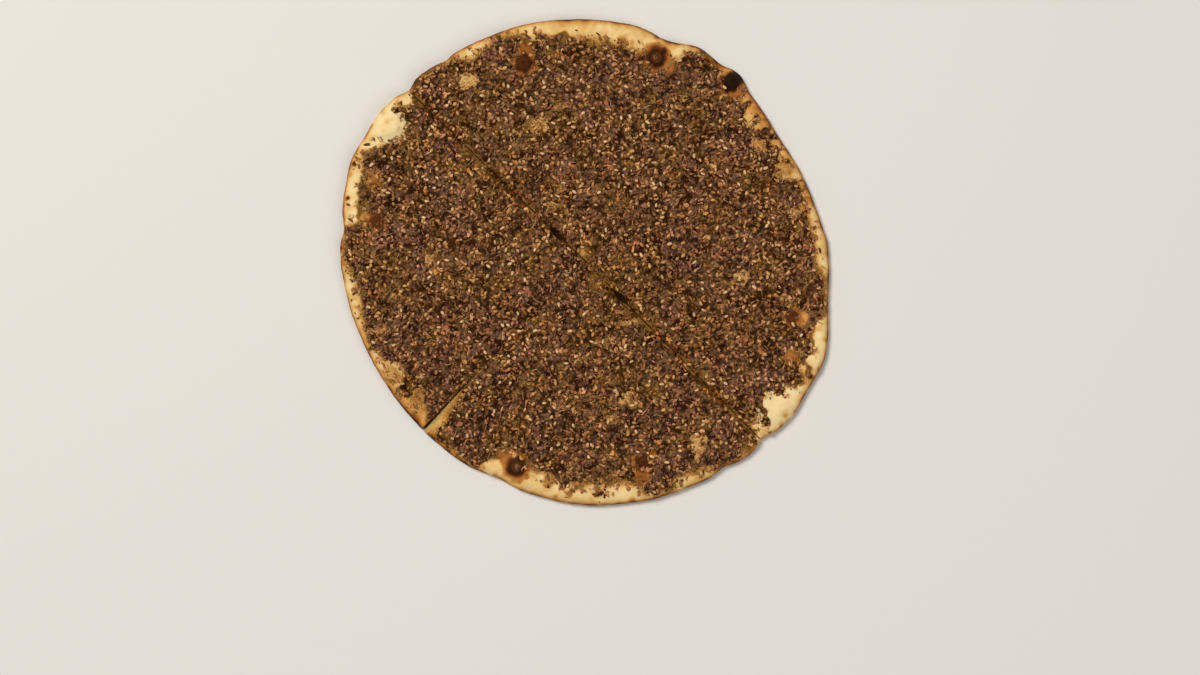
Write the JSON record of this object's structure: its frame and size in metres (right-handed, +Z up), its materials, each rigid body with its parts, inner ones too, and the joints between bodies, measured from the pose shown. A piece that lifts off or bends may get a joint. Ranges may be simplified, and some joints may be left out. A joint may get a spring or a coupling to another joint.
{
  "type": "za'atar flatbread",
  "caption": "Round thin flatbread with a bare blistered rim, spread with dark herb and sesame topping and cut across into quarter slices left together.",
  "frame": {"origin": "middle of the underside: the base plane, under the centre of the whole outline's box", "axes": "+Z up out of the topping, +X towards the right slice and +Y towards the top slice as seen from above"},
  "size_m": [0.3066, 0.3052, 0.0116],
  "materials": {
    "baked_dough": "dry baked dough, golden at the rim, oily and darker beside the cuts, browned blisters",
    "herb_topping": "coarse grey-brown herb flakes and toasted sesame seeds with a slight sheen of oil"
  },
  "bodies": {
    "root": {"dough_top": "baked_dough", "dough_left": "baked_dough", "dough_bottom": "baked_dough", "dough_right": "baked_dough", "topping_top": "herb_topping", "topping_left": "herb_topping", "topping_bottom": "herb_topping", "topping_right": "herb_topping"}
  },
  "joints": []
}
